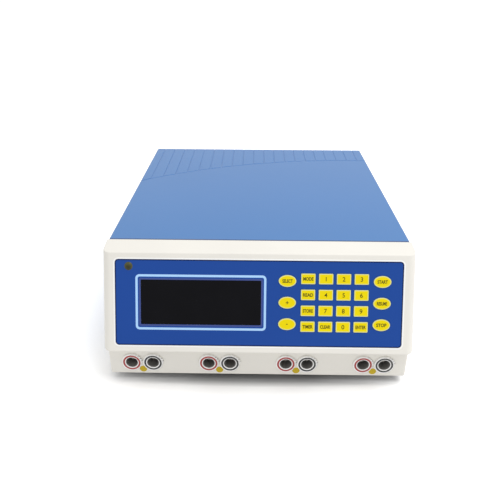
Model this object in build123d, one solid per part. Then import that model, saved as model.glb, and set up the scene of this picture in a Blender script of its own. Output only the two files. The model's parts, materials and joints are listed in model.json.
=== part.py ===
from build123d import *
from math import cos, radians, sin, sqrt, tan
import os

# Bench power supply for gel electrophoresis. A ribbed blue cover and a cream base close on a
# cream front bezel whose face leans back and carries the display and the keys. Four pairs of
# shrouded output sockets sit in the lower front. Millimetres, front towards -Y, up is +Z, and
# the origin is the middle of the footprint on the bench.

# Case
case_depth = 364.0
case_height = 137.0
bezel_width = 303.0
cover_step = 1.5
base_step = 1.5
foot_height = 9.0
wall = 2.5
seam = 0.4
fit = 0.15
cover_round = 2.0
past = 1.0

# Front bezel
bezel_depth = 60.0
lip_height = 43.9
lip_overhang = 11.0
face_lean = 22.3
brow_drop = 2.6
face_wall = 3.0
bezel_round = 8.0
lip_round = 1.2
tongue_reach = 4.0
tongue_thick = 2.0
tongue_end_gap = 10.0

# Overlay on the leaning face
overlay_side = 12.7
overlay_low_margin = 7.5
overlay_top_margin = 6.3
overlay_thick = 0.5
overlay_sink = 0.3
overlay_corner = 3.5

# Display
window_width = 116.0
window_height = 43.4
window_up = 0.5
window_x = -55.9
window_flange = 3.0
window_flange_thick = 1.2
window_corner = 1.0
window_slack = 0.05
display_margin = 3.0

# Keys
key_width = 13.7
key_height = 10.2
key_pitch_x = 17.1
key_pitch_v = 15.57
key_block_x = 73.1
key_block_up = 1.3
key_corner = 0.8
oval_width = 16.9
oval_height = 11.5
oval_pitch_v = 21.1
oval_offset_x = 45.6
key_rise = 0.5
key_travel = 0.5
key_slip = 0.2
key_edge_round = 0.25
key_flange = 1.2
key_flange_thick = 1.0
key_back_gap = 0.1
stem_diameter = 3.2
stem_reach = 0.7
switch_size = 6.2
switch_height = 3.5
switch_bore_depth = 1.8
switch_margin = 0.3

# Indicator lamp
lamp_diameter = 8.0
lamp_stem = 5.0
lamp_from_side = 13.2
lamp_from_top = 6.7
lamp_dome = 1.4
lamp_base = 6.0
lamp_base_height = 2.0

# Front board
front_board_side = 2.2
front_board_end = 3.0
front_board_up = 1.6
board_thick = 1.6
board_boss = 7.0
board_boss_inset = 4.0
board_boss_end = 9.0

# Screws
screw3_diameter = 3.0
screw3_length = 8.0
screw3_head = 5.5
screw3_head_height = 2.0
screw4_diameter = 4.0
screw4_length = 16.0
screw4_head = 7.6
screw4_head_height = 2.6
screw_slack = 0.2
thread_slack = 0.1
drive_depth = 1.2
drive_width = 0.8

# Output sockets
socket_height = 23.6
socket_side = 23.0
socket_spacing = 21.33
socket_pairs = 4
socket_flange = 20.0
socket_flange_thick = 2.0
socket_round = 0.6
socket_barrel = 15.5
socket_barrel_length = 27.0
socket_well = 11.8
socket_mouth = 0.6
socket_end_wall = 3.0
ring_outer = 17.4
ring_inner = 14.2
ring_depth = 0.8
ring_proud = 0.1
ring_slip = 0.05
contact_outer = 6.0
contact_bore = 4.1
contact_sink = 9.0
contact_floor = 2.0
contact_tail = 3.0
contact_tail_length = 6.0
nut_flats = 19.0
nut_thick = 4.0

# Columns, feet and bezel bosses
column_side = 12.0
column_front_gap = 8.5
column_rear_gap = 32.0
base_column = 12.0
cover_column = 9.0
column_web = 6.0
foot_side = 34.0
foot_front_gap = 52.0
foot_rear_gap = 32.0
foot_diameter = 24.0
foot_taper = 2.0
foot_seat = 3.0
foot_boss = 10.0
screw_end_room = 0.5
bezel_boss_width = 12.0
bezel_boss_depth = 10.0
bezel_boss_height = 16.0

# Cover grooves and vents
groove_width = 1.2
groove_depth = 0.6
groove_pitch = 14.5
groove_count = 20
groove_line_back = 49.0
groove_arc_radius = 474.0
groove_arc_x = 126.0
vent_width = 3.0
vent_length = 42.0
vent_pitch = 9.0
vent_count = 12
side_vent_rear = 40.0
side_vent_top = 30.0
floor_vent_rear = 60.0

# Rear panel
rear_recess = 6.0
panel_thick = 2.0
rim = 4.0
ledge_thick = 2.0

# Fan
fan_size = 80.0
fan_depth = 25.0
fan_side = 62.0
fan_bore = 76.0
fan_screw_pitch = 71.5
fan_corner = 4.0
fan_pilot = 3.2
fan_hub = 31.0
fan_strut_width = 5.0
fan_strut_thick = 4.0
fan_tip_gap = 1.0
fan_axial_gap = 1.0
fan_shaft = 3.0
fan_shaft_gap = 0.05
fan_bearing_floor = 1.0
fan_shaft_end_gap = 0.5
blade_end_gap = 0.5
blade_count = 7
blade_chord = 18.0
blade_thick = 1.6
blade_angle = 38.0
blade_root_sink = 2.0
guard_wire = 1.8
guard_rings = 4
guard_first = 12.0
guard_step = 8.0
guard_eye = 3.2

# Mains inlet with its fuse drawer
inlet_x = -105.0
inlet_height = 62.0
inlet_flange_width = 50.0
inlet_flange_height = 36.0
inlet_flange_thick = 2.2
inlet_corner = 3.0
inlet_body_width = 28.0
inlet_body_height = 33.0
inlet_body_depth = 30.0
inlet_screw_pitch = 40.0
inlet_well_width = 24.6
inlet_well_height = 17.0
inlet_well_depth = 22.0
inlet_well_up = 5.5
inlet_well_chamfer = 4.0
pin_length = 16.0
pin_wide = 4.0
pin_thick = 2.0
pin_spacing = 14.0
pin_earth_up = 4.0
pin_slack = 0.05
pin_chamfer = 0.6
pin_tab = 8.0
drawer_width = 24.0
drawer_height = 8.0
drawer_depth = 25.0
drawer_down = 10.3
drawer_slip = 0.2
drawer_face = 2.0
drawer_wall = 1.2
drawer_proud = 0.8
fuse_diameter = 5.0
fuse_length = 20.0
fuse_spacing = 9.0

# Mains rocker switch
rocker_x = -40.0
rocker_flange_width = 25.5
rocker_flange_height = 32.0
rocker_flange_thick = 2.0
rocker_flange_corner = 2.0
rocker_body_width = 22.0
rocker_body_height = 29.0
rocker_body_depth = 22.0
rocker_width = 16.5
rocker_half = 12.5
rocker_crest = 4.0
rocker_keel = 2.0
rocker_keel_half = 11.0
rocker_angle = 8.0
rocker_side_gap = 0.4
rocker_end_gap = 1.0
rocker_pivot_sink = 3.0
rocker_floor_gap = 0.8
rocker_pin = 2.4
rocker_pin_length = 1.4
rocker_pin_gap = 0.05
rocker_tab = 8.0
rocker_tab_thick = 0.8

# Power board and what stands on it
power_board_side = 16.0
power_board_depth = 130.0
power_board_front_gap = 16.0
power_board_height = 17.0
power_boss = 8.0
power_boss_inset = 6.0
terminal_width = 10.0
terminal_depth = 11.0
terminal_edge = 2.0
wire_diameter = 2.4
capacitor_diameter = 30.0
capacitor_height = 52.0
capacitor_round = 1.5
capacitor_pitch = 36.0
capacitor_count = 3
capacitor_x = -104.0
capacitor_back = 62.0
sink_plate = 5.0
sink_length = 88.0
sink_height = 66.0
sink_fin = 2.0
sink_fin_length = 26.0
sink_fin_count = 9
sink_x = 46.0
sink_gap = 66.0
sink_rear_gap = 2.0
transistor_width = 16.0
transistor_height = 21.0
transistor_thick = 5.0
transistor_lift = 12.0
transistor_pitch = 24.0
transistor_count = 3
transistor_leg = 1.4

# Mains transformer
core_width = 76.0
core_depth = 64.0
core_stack = 40.0
core_leg = 25.4
core_window = 12.7
core_window_depth = 38.0
coil_slip = 0.3
coil_build = 12.0
coil_round = 4.0
core_x = -92.0
core_rear_gap = 87.0
core_lift = 14.0
core_boss = 10.0
core_bolt_inset = 6.0
core_bolt_bite = 10.0

# Ribbon cable
ribbon_width = 30.0
ribbon_thick = 1.2
ribbon_x = 20.0
ribbon_start = 30.0
ribbon_drop = 22.0
ribbon_landing = 28.0
ribbon_bend = 6.0
ribbon_plug = 6.0

# Places worked out from the sizes above
cover_width = bezel_width - 2 * cover_step
base_width = bezel_width - 2 * base_step
front_y = -case_depth / 2
back_y = case_depth / 2
seam_y = front_y + bezel_depth
socket_face_y = front_y + lip_overhang
floor_top = foot_height + wall
brow_z = case_height - brow_drop
lip_y = front_y - lip_round * (tan(radians(face_lean)) + 1 / cos(radians(face_lean)) - past)
brow_y = lip_y + (brow_z - lip_height) * tan(radians(face_lean))
panel_back_y = back_y - rear_recess
panel_front_y = panel_back_y - panel_thick
inner_half = base_width / 2 - wall
column_x = base_width / 2 - column_side
foot_x = base_width / 2 - foot_side
power_board_width = base_width - 2 * power_board_side
fan_x = base_width / 2 - fan_side
fan_height = (floor_top + case_height - wall) / 2
screw_hole3 = screw3_diameter + 2 * screw_slack
screw_hole4 = screw4_diameter + 2 * screw_slack

# The leaning face is a plane of its own: x across, v up the face, w out of it
face_normal = (0, -cos(radians(face_lean)), sin(radians(face_lean)))
face_plane = Plane(origin=(0, lip_y, lip_height), x_dir=(1, 0, 0), z_dir=face_normal)

# Heights on the face are measured up it from the lip's edge
face_length = (brow_z - lip_height) / cos(radians(face_lean))
overlay_width = bezel_width - 2 * overlay_side
overlay_height = face_length - overlay_low_margin - overlay_top_margin
overlay_mid = overlay_low_margin + overlay_height / 2
window_mid = overlay_mid + window_up
key_block_mid = overlay_mid + key_block_up
lamp_x = -overlay_width / 2 + lamp_from_side
lamp_v = overlay_mid + overlay_height / 2 - lamp_from_top
front_board_width = overlay_width - 2 * front_board_side
front_board_height = overlay_height - 2 * front_board_end
board_boss_row = front_board_height - 2 * board_boss_end

overlay_top = -overlay_sink
recess_floor = overlay_top - overlay_thick
key_top = overlay_top + key_rise
key_back = -face_wall - key_back_gap
key_flange_back = key_back - key_flange_thick
switch_top = key_flange_back - key_travel - switch_margin
board_front = switch_top - switch_height
board_back = board_front - board_thick
board_mid_v = overlay_mid + front_board_up

# Every socket as its x and the colour of its ring
pair_pitch = (base_width - 2 * socket_side - socket_spacing) / (socket_pairs - 1)
pair_centres = [(k - (socket_pairs - 1) / 2) * pair_pitch for k in range(socket_pairs)]
red_sockets = [x - socket_spacing / 2 for x in pair_centres]
black_sockets = [x + socket_spacing / 2 for x in pair_centres]
socket_xs = sorted(red_sockets + black_sockets)


def span(x0, x1, y0, y1, z0, z1):
    """A box between two corners."""
    return Pos((x0 + x1) / 2, (y0 + y1) / 2, (z0 + z1) / 2) * Box(x1 - x0, y1 - y0, z1 - z0)


def rod_x(x0, x1, y, z, diameter):
    """A round bar along X."""
    return Pos((x0 + x1) / 2, y, z) * Rot(0, 90, 0) * Cylinder(diameter / 2, x1 - x0)


def rod_y(x, y0, y1, z, diameter):
    """A round bar along Y."""
    return Pos(x, (y0 + y1) / 2, z) * Rot(90, 0, 0) * Cylinder(diameter / 2, y1 - y0)


def rod_z(x, y, z0, z1, diameter):
    """A round bar along Z."""
    return Pos(x, y, (z0 + z1) / 2) * Cylinder(diameter / 2, z1 - z0)


def side_profile(points, half_width):
    """An outline in the YZ plane, drawn out to both sides."""
    return extrude(Plane.YZ * Polygon(*points, align=None), amount=half_width, both=True)


def on_face(x, v, w0, w1, sketch):
    """A flat shape on the leaning face, drawn out between two depths."""
    return face_plane.location * Pos(x, v, w0) * extrude(sketch, amount=w1 - w0)


def rounded(width, height, corner):
    """A rectangle with round corners."""
    return RectangleRounded(width, height, corner)


def machine_screw(diameter, length, head, head_height):
    """A pan head screw, its head's underside at z = 0 and its shank down -Z."""
    body = rod_z(0, 0, -length, 0, diameter) + rod_z(0, 0, 0, head_height, head)
    slot = span(
        -drive_width / 2, drive_width / 2, -head / 3, head / 3, head_height - drive_depth, head_height,
    )
    return body - slot - Rot(0, 0, 90) * slot


def screw3():
    """The small screw of the boards, the fan and the inlet."""
    return machine_screw(screw3_diameter, screw3_length, screw3_head, screw3_head_height)


def screw4():
    """The larger screw of the case and the feet."""
    return machine_screw(screw4_diameter, screw4_length, screw4_head, screw4_head_height)


# Places on the leaning face
number_keys = [
    ("mode", 0, 0), ("1", 1, 0), ("2", 2, 0), ("3", 3, 0),
    ("read", 0, 1), ("4", 1, 1), ("5", 2, 1), ("6", 3, 1),
    ("store", 0, 2), ("7", 1, 2), ("8", 2, 2), ("9", 3, 2),
    ("timer", 0, 3), ("clear", 1, 3), ("0", 2, 3), ("confirm", 3, 3),
]
oval_keys = [
    ("select", -1, 0), ("plus", -1, 1), ("minus", -1, 2),
    ("start", 1, 0), ("resume", 1, 1), ("stop", 1, 2),
]


def key_place(column, row):
    """Middle of a rectangular key, by its column and row."""
    return key_block_x + (column - 1.5) * key_pitch_x, key_block_mid + (1.5 - row) * key_pitch_v


def oval_place(side, row):
    """Middle of an oval key, left or right of the block."""
    return key_block_x + side * oval_offset_x, key_block_mid + (1 - row) * oval_pitch_v


def key_outline(oval, extra):
    """The outline of a key, larger by a margin on every side."""
    if oval:
        return Ellipse(oval_width / 2 + extra, oval_height / 2 + extra)
    return rounded(key_width + 2 * extra, key_height + 2 * extra, key_corner + max(extra, 0))


key_places = [(name, *key_place(column, row), False) for name, column, row in number_keys]
key_places += [(name, *oval_place(side, row), True) for name, side, row in oval_keys]

oval_left_edge = key_block_x - oval_offset_x - oval_width / 2
boss_x = front_board_width / 2 - board_boss_inset
boss_mid_x = (window_x + window_width / 2 + oval_left_edge) / 2
board_bosses = [
    (x, board_mid_v + side * board_boss_row / 2)
    for x in (-boss_x, boss_mid_x, boss_x)
    for side in (-1, 1)
]

# Places on the floor of the case
column_points = [
    (side * column_x, y)
    for side in (-1, 1)
    for y in (seam_y + column_front_gap, back_y - column_rear_gap)
]
foot_points = [
    (side * foot_x, y)
    for side in (-1, 1)
    for y in (front_y + foot_front_gap, back_y - foot_rear_gap)
]
bezel_boss_points = [
    (side * pair_pitch, socket_face_y + wall + bezel_boss_depth / 2)
    for side in (-1, 1)
]
power_front = seam_y + power_board_front_gap
power_back = power_front + power_board_depth
power_top = power_board_height + board_thick
power_mid = (power_front + power_back) / 2
power_boss_x = power_board_width / 2 - power_boss_inset
power_boss_points = [
    (x, y)
    for x in (-power_boss_x, 0, power_boss_x)
    for y in (power_front + 3 * power_boss_inset, power_back - power_boss_inset)
]
core_y = back_y - core_rear_gap
core_bottom = floor_top + core_lift
core_top = core_bottom + core_stack
core_bolt_points = [
    (core_x + sx * (core_width / 2 - core_bolt_inset), core_y + sy * (core_depth / 2 - core_bolt_inset))
    for sx in (-1, 1)
    for sy in (-1, 1)
]


def groove_start(x):
    """How far back the cover's ribbed part begins at a place across it."""
    line_y = back_y - groove_line_back
    if x >= groove_arc_x:
        return line_y
    return line_y - groove_arc_radius + sqrt(groove_arc_radius**2 - (groove_arc_x - x) ** 2)


def make_top_cover():
    """Moulded cover: a roof and two sides, ribbed at the back, with screw columns inside."""
    half = cover_width / 2
    front = seam_y + seam
    bottom = lip_height + seam
    cover = span(-half, half, front, back_y, bottom, case_height)
    top_edges = cover.edges().group_by(Axis.Z)[-1].sort_by(Axis.Y)[1:]
    rear_edges = cover.edges().filter_by(Axis.Z).sort_by(Axis.Y)[2:]
    cover = fillet(top_edges + rear_edges, cover_round)
    inner = half - wall
    roof = case_height - wall
    cover -= span(-inner, inner, front - past, back_y + past, bottom - past, roof)
    # the rims that hold the rear panel's edge from behind and from in front
    for y0, y1 in ((panel_back_y + fit, back_y), (panel_front_y - fit - ledge_thick, panel_front_y - fit)):
        frame = span(-inner - wall / 2, inner + wall / 2, y0, y1, bottom, roof + wall / 2)
        frame -= span(-inner + rim, inner - rim, y0 - past, y1 + past, bottom - past, roof - rim)
        cover += frame & span(
            -half, half, y0 - past, y1 - cover_round * (y1 == back_y), bottom, case_height,
        )
    for x, y in column_points:
        cover += rod_z(x, y, lip_height + fit, roof + wall / 2, cover_column)
        depth = screw4_length - column_web + screw_end_room
        cover -= rod_z(x, y, lip_height, lip_height + depth, screw4_diameter + thread_slack)
    # the curved groove, the straight one that it runs into, and the ribs' grooves behind them
    low = case_height - groove_depth
    line_y = back_y - groove_line_back
    arc_y = line_y - groove_arc_radius
    ring = Pos(groove_arc_x, arc_y, low) * (
        extrude(Circle(groove_arc_radius + groove_width / 2), amount=groove_depth + past)
        - extrude(Circle(groove_arc_radius - groove_width / 2), amount=groove_depth + past)
    )
    cover -= ring & span(-half - past, groove_arc_x, front, back_y, low, case_height + past)
    cover -= span(
        groove_arc_x, half + past, line_y - groove_width / 2, line_y + groove_width / 2, low,
        case_height + past,
    )
    for k in range(groove_count):
        x = (k - (groove_count - 1) / 2) * groove_pitch
        cover -= span(
            x - groove_width / 2, x + groove_width / 2, groove_start(x), back_y + past, low,
            case_height + past,
        )
    # side vents, a row of upright slots in each side
    for k in range(vent_count):
        y = back_y - side_vent_rear - k * vent_pitch
        top = case_height - side_vent_top
        cover -= span(-half - past, half + past, y - vent_width, y, top - vent_length, top)
    return cover


def make_base_shell():
    """Moulded tray: the floor, low sides, and the bosses that carry what is inside."""
    half = base_width / 2
    front = seam_y + seam
    base = span(-half, half, front, back_y, foot_height, lip_height)
    rear_edges = base.edges().filter_by(Axis.Z).sort_by(Axis.Y)[2:]
    base = fillet(rear_edges, cover_round)
    base -= span(-inner_half, inner_half, front - past, back_y + past, floor_top, lip_height + past)
    # the floor runs on forward between the bezel's sides
    base += span(
        -inner_half + fit, inner_half - fit, socket_face_y + wall + fit, front + past, foot_height,
        floor_top,
    )
    for y0, y1 in ((panel_back_y + fit, back_y), (panel_front_y - fit - ledge_thick, panel_front_y - fit)):
        frame = span(
            -inner_half - wall / 2, inner_half + wall / 2, y0, y1, foot_height + wall / 2, lip_height,
        )
        frame -= span(
            -inner_half + rim, inner_half - rim, y0 - past, y1 + past, floor_top + rim,
            lip_height + past,
        )
        base += frame & span(
            -half, half, y0 - past, y1 - cover_round * (y1 == back_y), foot_height, lip_height,
        )
    for x, y in column_points:
        base += rod_z(x, y, foot_height, lip_height, base_column)
        base -= rod_z(x, y, foot_height - past, lip_height - column_web, screw4_head + 4 * screw_slack)
        base -= rod_z(x, y, foot_height, lip_height + past, screw_hole4)
    foot_screw_end = foot_height - foot_seat + screw4_length
    for x, y in foot_points:
        base += rod_z(x, y, foot_height, foot_screw_end + wall, foot_boss)
        base -= rod_z(
            x, y, foot_height - past, foot_screw_end + screw_end_room, screw4_diameter + thread_slack,
        )
    for x, y in bezel_boss_points:
        base -= rod_z(x, y, foot_height - past, floor_top + past, screw_hole4)
    for x, y in power_boss_points:
        base += rod_z(x, y, foot_height, power_board_height, power_boss)
        hole_end = power_top - screw3_length - screw_end_room
        base -= rod_z(x, y, hole_end, power_board_height + past, screw3_diameter + thread_slack)
    for x, y in core_bolt_points:
        base += rod_z(x, y, foot_height, core_bottom, core_boss)
        base -= rod_z(
            x, y, core_bottom - core_bolt_bite - screw_end_room, core_bottom + past,
            screw4_diameter + thread_slack,
        )
    # floor vents under the boards
    for k in range(vent_count):
        y = back_y - floor_vent_rear - k * vent_pitch
        for x in (-vent_length / 2, vent_length / 2):
            slot = span(
                x - vent_length / 2 + wall, x + vent_length / 2 - wall, y - vent_width, y, 0,
                floor_top + past,
            )
            base -= slot
    return base


def edge_at(body, y, z):
    """A body's edges whose middles lie at this depth and height."""
    return [e for e in body.edges() if abs(e.center().Y - y) < 0.01 and abs(e.center().Z - z) < 0.01]


def make_front_bezel():
    """Moulded front: the leaning face over the set-back socket wall, open at the back and below."""
    upper = [(seam_y, case_height), (brow_y, brow_z), (lip_y, lip_height), (seam_y, lip_height)]
    half = bezel_width / 2
    head = side_profile(upper, half)
    slanted = [e for e in head.edges() if abs(abs(e.center().X) - half) < 0.01]
    fronts = [e for e in slanted if abs(e.center().Y - (brow_y + lip_y) / 2) < 0.5]
    head = fillet(fronts, bezel_round)
    lip_edge = edge_at(head, lip_y, lip_height)
    brow_edge = edge_at(head, brow_y, brow_z)
    head = fillet(lip_edge + brow_edge, lip_round)
    low_half = base_width / 2
    foot = span(-low_half, low_half, socket_face_y, seam_y, foot_height, lip_height + past)
    corners = foot.edges().filter_by(Axis.Z).sort_by(Axis.Y)[:2]
    foot = fillet(corners, lip_round * 2)
    bezel = head + foot

    # the hollow behind the face: w is measured inwards from the face
    lean = radians(face_lean)
    back_shift = face_wall / cos(lean)
    roof_front = brow_z - wall
    roof_y = lip_y + back_shift + (roof_front - lip_height) * tan(lean)
    floor_y = lip_y + back_shift + wall * tan(lean)
    inner = [
        (seam_y + past, case_height - wall), (seam_y, case_height - wall), (roof_y, roof_front),
        (floor_y, lip_height + wall), (seam_y + past, lip_height + wall),
    ]
    hollow = side_profile(inner, half - wall)
    corners = [e for e in hollow.edges() if abs(abs(e.center().X) - half + wall) < 0.01]
    corners = [e for e in corners if abs(e.center().Y - (roof_y + floor_y) / 2) < 0.5]
    bezel -= fillet(corners, bezel_round - wall)
    bezel -= span(
        -inner_half, inner_half, socket_face_y + wall, seam_y + past, foot_height - past,
        lip_height + wall + past,
    )

    # tongues that reach under the cover's roof and behind its sides
    under = case_height - wall - fit
    root = seam_y - 2 * tongue_reach
    reach = seam_y + seam + tongue_reach
    wide = column_x - cover_column
    bezel += span(-wide, wide, root, reach, under - tongue_thick, under)
    bezel += span(-wide, wide, root, seam_y, under - tongue_thick, under + fit + wall / 2)
    beside = cover_width / 2 - wall - fit
    for side in (-1, 1):
        near, far = sorted((side * (beside - tongue_thick), side * beside))
        bezel += span(near, far, root, reach, lip_height + tongue_end_gap, under - tongue_end_gap)
        near, far = sorted((side * (beside - tongue_thick), side * (half - wall / 2)))
        bezel += span(near, far, root, seam_y, lip_height + tongue_end_gap, under - tongue_end_gap)

    # the shallow seat of the overlay, and the openings in its floor
    bezel -= on_face(
        0, overlay_mid, recess_floor, 1,
        rounded(overlay_width + 2 * fit, overlay_height + 2 * fit, overlay_corner),
    )
    window = rounded(window_width + 2 * fit, window_height + 2 * fit, window_corner + fit)
    bezel -= on_face(window_x, window_mid, -face_wall - past, 1, window)
    for name, x, v, oval in key_places:
        bezel -= on_face(x, v, -face_wall - past, 1, key_outline(oval, key_slip))
    bezel -= on_face(lamp_x, lamp_v, -face_wall - past, 1, Circle(lamp_stem / 2 + fit))

    for x, v in board_bosses:
        bezel += on_face(x, v, board_front, -face_wall / 2, Circle(board_boss / 2))
        bezel -= on_face(
            x, v, board_front - past, board_front + screw3_length - board_thick,
            Circle((screw3_diameter + thread_slack) / 2),
        )
    for x in socket_xs:
        bezel -= rod_y(
            x, socket_face_y - past, socket_face_y + wall + past, socket_height,
            socket_barrel + 2 * fit,
        )
    for x, y in bezel_boss_points:
        low = floor_top + fit
        bezel += span(
            x - bezel_boss_width / 2, x + bezel_boss_width / 2,
            socket_face_y + wall / 2, socket_face_y + wall + bezel_boss_depth,
            low, low + bezel_boss_height,
        )
        bezel -= rod_z(
            x, y, low - past, foot_height + screw4_length + screw_end_room,
            screw4_diameter + thread_slack,
        )
    return bezel


def make_rear_panel():
    """Flat plate held in the rims of the cover and the base."""
    half = inner_half - fit
    panel = span(-half, half, panel_front_y, panel_back_y, floor_top + fit, case_height - wall - fit)
    panel -= rod_y(fan_x, panel_front_y - past, panel_back_y + past, fan_height, fan_bore)
    for sx in (-1, 1):
        for sz in (-1, 1):
            x = fan_x + sx * fan_screw_pitch / 2
            z = fan_height + sz * fan_screw_pitch / 2
            panel -= rod_y(x, panel_front_y - past, panel_back_y + past, z, screw_hole3)
    hw = inlet_body_width / 2 + fit
    hh = inlet_body_height / 2 + fit
    panel -= span(
        inlet_x - hw, inlet_x + hw, panel_front_y - past, panel_back_y + past, inlet_height - hh,
        inlet_height + hh,
    )
    for side in (-1, 1):
        x = inlet_x + side * inlet_screw_pitch / 2
        panel -= rod_y(x, panel_front_y - past, panel_back_y + past, inlet_height, screw_hole3)
    hw = rocker_body_width / 2 + fit
    hh = rocker_body_height / 2 + fit
    panel -= span(
        rocker_x - hw, rocker_x + hw, panel_front_y - past, panel_back_y + past, inlet_height - hh,
        inlet_height + hh,
    )
    return panel


def make_overlay():
    """Printed plastic sheet laid in the seat of the leaning face."""
    sheet = on_face(
        0, overlay_mid, recess_floor, overlay_top,
        rounded(overlay_width, overlay_height, overlay_corner),
    )
    window = rounded(window_width + 2 * fit, window_height + 2 * fit, window_corner + fit)
    sheet -= on_face(window_x, window_mid, recess_floor - past, 1, window)
    for name, x, v, oval in key_places:
        sheet -= on_face(x, v, recess_floor - past, 1, key_outline(oval, key_slip))
    sheet -= on_face(lamp_x, lamp_v, recess_floor - past, 1, Circle(lamp_stem / 2 + fit))
    return sheet


def make_display_window():
    """Tinted window, let into the face from behind on its own flange."""
    back = -face_wall - window_slack
    lens = on_face(
        window_x, window_mid, back, overlay_top - window_slack,
        rounded(window_width, window_height, window_corner),
    )
    flange = rounded(window_width + 2 * window_flange, window_height + 2 * window_flange, window_corner)
    return lens + on_face(window_x, window_mid, back - window_flange_thick, back, flange)


def make_display_module():
    """Glass display on the front board, just behind the window."""
    front = -face_wall - window_flange_thick - 2 * fit
    glass = Rectangle(window_width - display_margin, window_height - display_margin)
    module = on_face(window_x, window_mid, board_front, front, glass)
    return module


def make_front_board():
    """Circuit board behind the face, screwed to the bezel's bosses."""
    board = on_face(
        0, board_mid_v, board_back, board_front, Rectangle(front_board_width, front_board_height),
    )
    for x, v in board_bosses:
        board -= on_face(x, v, board_back - past, board_front + past, Circle(screw_hole3 / 2))
    return board


def make_key_switches():
    """One small push switch on the board behind every key."""
    group = []
    for name, x, v, oval in key_places:
        body = on_face(x, v, board_front, switch_top, Rectangle(switch_size, switch_size))
        bore = Circle(stem_diameter / 2 + key_slip)
        group.append(body - on_face(x, v, switch_top - switch_bore_depth, switch_top + past, bore))
    return Compound(children=group)


def make_key(x, v, oval):
    """Key cap: the pad that shows, a flange that stops behind the face, and a stem."""
    pad = on_face(x, v, key_back, key_top, key_outline(oval, 0))
    edges = [e for e in pad.edges() if abs(face_plane.to_local_coords(e.center()).Z - key_top) < 0.01]
    pad = fillet(edges, key_edge_round)
    flange = on_face(x, v, key_flange_back, key_back, key_outline(oval, key_flange))
    stem = on_face(x, v, switch_top - stem_reach, key_flange_back, Circle(stem_diameter / 2))
    return pad + flange + stem


def make_lamp():
    """Indicator lamp: a domed lens on a stem, with its base on the front board."""
    stem = on_face(lamp_x, lamp_v, board_front, overlay_top, Circle(lamp_stem / 2))
    base = on_face(
        lamp_x, lamp_v, board_front, board_front + lamp_base_height, Rectangle(lamp_base, lamp_base),
    )
    radius = ((lamp_diameter / 2) ** 2 + lamp_dome**2) / (2 * lamp_dome)
    ball = face_plane.location * Pos(lamp_x, lamp_v, overlay_top + lamp_dome - radius) * Sphere(radius)
    dome = ball & on_face(lamp_x, lamp_v, overlay_top, overlay_top + 2 * lamp_dome, Circle(lamp_diameter))
    return stem + base + dome


def make_board_screws():
    """The small screws of the front board, the power board, the fan and the inlet."""
    group = []
    for x, v in board_bosses:
        group.append(face_plane.location * Pos(x, v, board_back) * Rot(180, 0, 0) * screw3())
    for x, y in power_boss_points:
        group.append(Pos(x, y, power_top) * screw3())
    for sx in (-1, 1):
        for sz in (-1, 1):
            x = fan_x + sx * fan_screw_pitch / 2
            z = fan_height + sz * fan_screw_pitch / 2
            group.append(Pos(x, panel_back_y + guard_wire, z) * Rot(-90, 0, 0) * screw3())
    for side in (-1, 1):
        x = inlet_x + side * inlet_screw_pitch / 2
        group.append(Pos(x, panel_back_y + inlet_flange_thick, inlet_height) * Rot(-90, 0, 0) * screw3())
    return Compound(children=group)


def make_case_screws():
    """The larger screws, all driven from below: case columns, bezel bosses and feet."""
    group = []
    for x, y in column_points:
        group.append(Pos(x, y, lip_height - column_web) * Rot(180, 0, 0) * screw4())
    for x, y in bezel_boss_points:
        group.append(Pos(x, y, foot_height) * Rot(180, 0, 0) * screw4())
    for x, y in foot_points:
        group.append(Pos(x, y, foot_height - foot_seat) * Rot(180, 0, 0) * screw4())
    return Compound(children=group)


def make_feet():
    """Round rubber feet, each with a seat for its screw's head."""
    group = []
    for x, y in foot_points:
        foot = Pos(x, y, foot_height / 2) * Cone(
            foot_diameter / 2 - foot_taper, foot_diameter / 2, foot_height,
        )
        foot -= rod_z(x, y, -past, foot_height - foot_seat, screw4_head + 4 * screw_slack)
        foot -= rod_z(x, y, 0, foot_height + past, screw_hole4)
        group.append(foot)
    return Compound(children=group)


socket_front_y = socket_face_y - socket_flange_thick
barrel_back_y = socket_face_y + socket_barrel_length
contact_front_y = socket_front_y + contact_sink
contact_back_y = barrel_back_y + contact_tail_length
bore_end_y = barrel_back_y - contact_floor


def make_socket_bodies():
    """Insulating socket bodies: a flange, a threaded barrel and a deep well."""
    group = []
    for x in socket_xs:
        flange = rod_y(x, socket_front_y, socket_face_y, socket_height, socket_flange)
        edge = [e for e in flange.edges() if abs(e.center().Y - socket_front_y) < 0.01]
        body = fillet(edge, socket_round)
        body += rod_y(x, socket_face_y, barrel_back_y, socket_height, socket_barrel)
        body -= rod_y(x, socket_front_y - past, barrel_back_y - socket_end_wall, socket_height, socket_well)
        well_round = socket_well / 2
        flare = Rot(90, 0, 0) * Cone(well_round, well_round + socket_mouth, socket_mouth)
        body -= Pos(x, socket_front_y + socket_mouth / 2, socket_height) * flare
        body -= rod_y(x, socket_face_y, barrel_back_y + past, socket_height, contact_outer + 2 * ring_slip)
        groove = rod_y(
            x, socket_front_y - past, socket_front_y + ring_depth, socket_height,
            ring_outer + 2 * ring_slip,
        )
        groove -= rod_y(
            x, socket_front_y - 2 * past, socket_front_y + ring_depth + past, socket_height,
            ring_inner - 2 * ring_slip,
        )
        group.append(body - groove)
    return Compound(children=group)


def make_rings(xs):
    """Coloured rings let into the flanges."""
    group = []
    for x in xs:
        y0 = socket_front_y - ring_proud
        y1 = socket_front_y + ring_depth
        ring = rod_y(x, y0, y1, socket_height, ring_outer)
        group.append(ring - rod_y(x, y0 - past, y1 + past, socket_height, ring_inner))
    return Compound(children=group)


def make_contacts():
    """Metal sleeves that take the plug's pin, with a tail for the wire."""
    group = []
    for x in socket_xs:
        sleeve = rod_y(x, contact_front_y, barrel_back_y, socket_height, contact_outer)
        sleeve += rod_y(x, barrel_back_y, contact_back_y, socket_height, contact_tail)
        group.append(sleeve - rod_y(x, contact_front_y - past, bore_end_y, socket_height, contact_bore))
    return Compound(children=group)


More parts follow.
